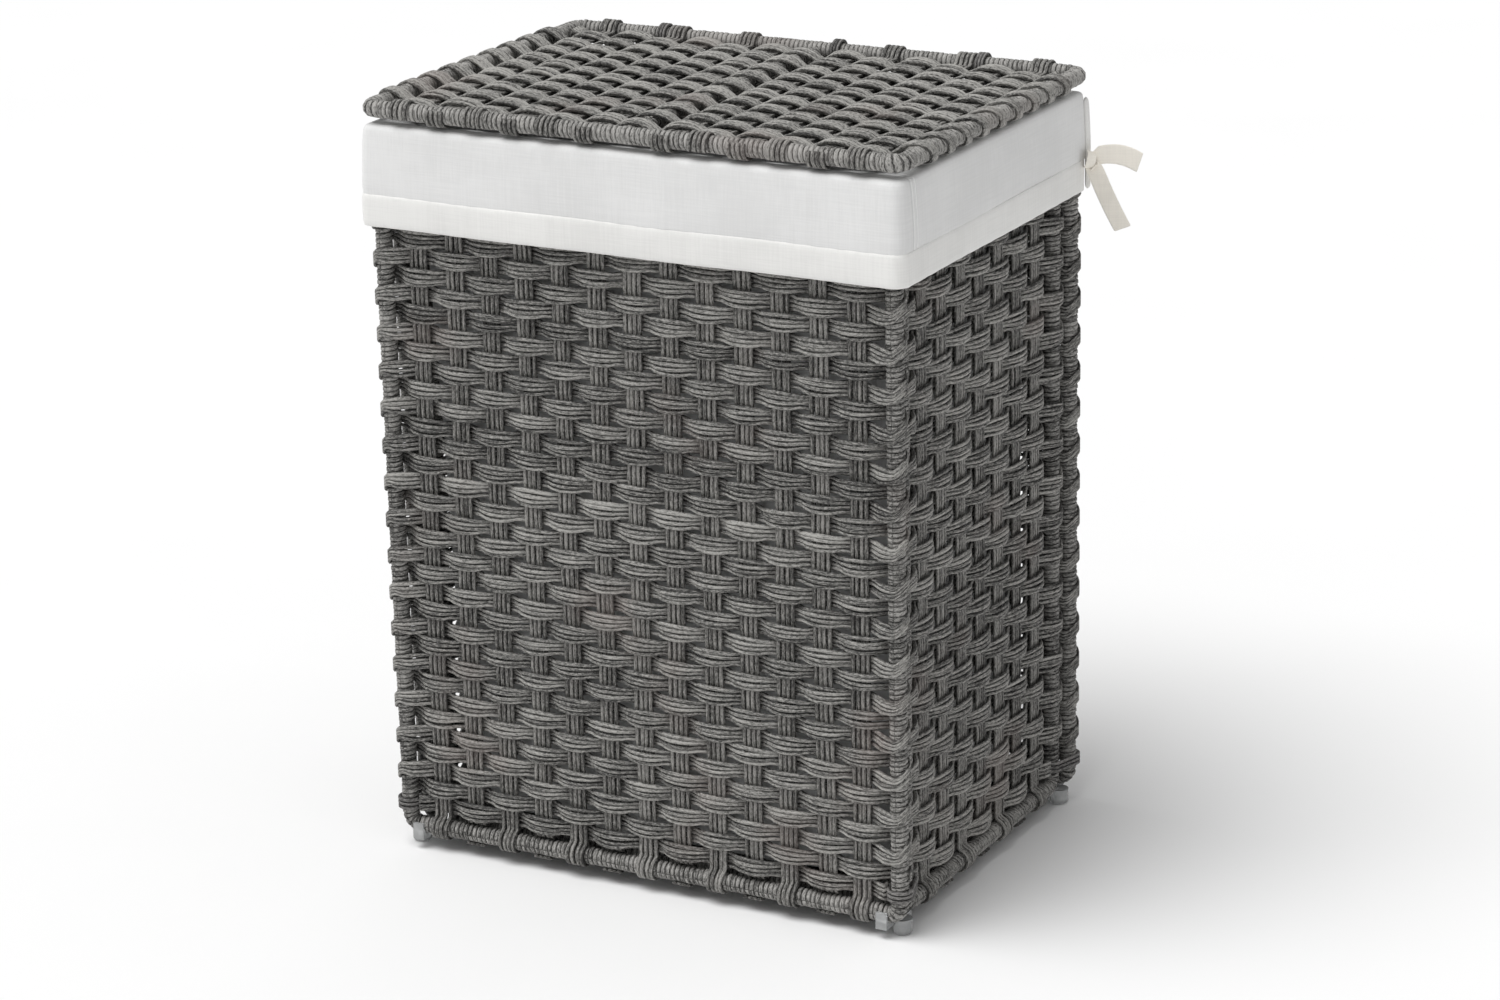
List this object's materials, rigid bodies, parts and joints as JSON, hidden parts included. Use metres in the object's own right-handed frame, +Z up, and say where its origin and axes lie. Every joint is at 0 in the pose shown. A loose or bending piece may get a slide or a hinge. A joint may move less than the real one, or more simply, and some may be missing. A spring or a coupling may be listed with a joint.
{
  "type": "laundry hamper with lid",
  "caption": "Rectangular woven laundry hamper on clip feet, with a flat hinged lid, a cloth liner whose white cuff folds over the rim, and tie ribbons at the back corners.",
  "frame": {"origin": "on the floor, midway between the sides and between the front and the back", "axes": "+X to the right along the front, +Y from the front to the back where the lid is hinged, +Z up"},
  "size_m": [0.513, 0.33, 0.6],
  "materials": {
    "steel_wire": "painted, hidden under the wound strand",
    "wound_strand": "matt, finely lined",
    "stake_strand": "matt, finely lined",
    "woven_strand": "matt, finely lined, in mixed greys",
    "tie_strand": "matt",
    "clear_plastic": "clear, smooth",
    "liner_cloth": "plain weave, cool white",
    "liner_tape": "plain weave, cream"
  },
  "bodies": {
    "body": {"frame_front": "steel_wire", "frame_back": "steel_wire", "frame_left": "steel_wire", "frame_right": "steel_wire", "frame_base": "steel_wire", "edge_front": "wound_strand", "edge_back": "wound_strand", "edge_left": "wound_strand", "edge_right": "wound_strand", "edge_base": "wound_strand", "stakes_front": "stake_strand", "stakes_back": "stake_strand", "stakes_left": "stake_strand", "stakes_right": "stake_strand", "stakes_base": "stake_strand", "weave_front": "woven_strand", "weave_back": "woven_strand", "weave_left": "woven_strand", "weave_right": "woven_strand", "weave_base": "woven_strand", "corner_ties_front_left": "tie_strand", "corner_ties_front_right": "tie_strand", "corner_ties_back_left": "tie_strand", "corner_ties_back_right": "tie_strand", "lid_loop_left": "tie_strand", "lid_loop_middle": "tie_strand", "lid_loop_right": "tie_strand", "foot_front_left": "clear_plastic", "foot_front_right": "clear_plastic", "foot_back_left": "clear_plastic", "foot_back_right": "clear_plastic", "liner_bag": "liner_cloth", "liner_cuff": "liner_cloth", "liner_hem": "liner_tape", "binding_left": "liner_tape", "binding_right": "liner_tape", "ribbon_left": "liner_tape", "ribbon_right": "liner_tape"},
    "lid": {"frame_lid": "steel_wire", "edge_lid": "wound_strand", "stakes_lid": "stake_strand", "weave_lid": "woven_strand", "lid_bar_wire": "steel_wire", "lid_bar_wrap": "wound_strand"}
  },
  "joints": [
    {"name": "lid_hinge", "type": "hinge", "parent": "body", "child": "lid", "pos_m": [0, 0.1553, 0.5903], "axis": [-1, 0, 0], "range_deg": [0, 205]}
  ]
}
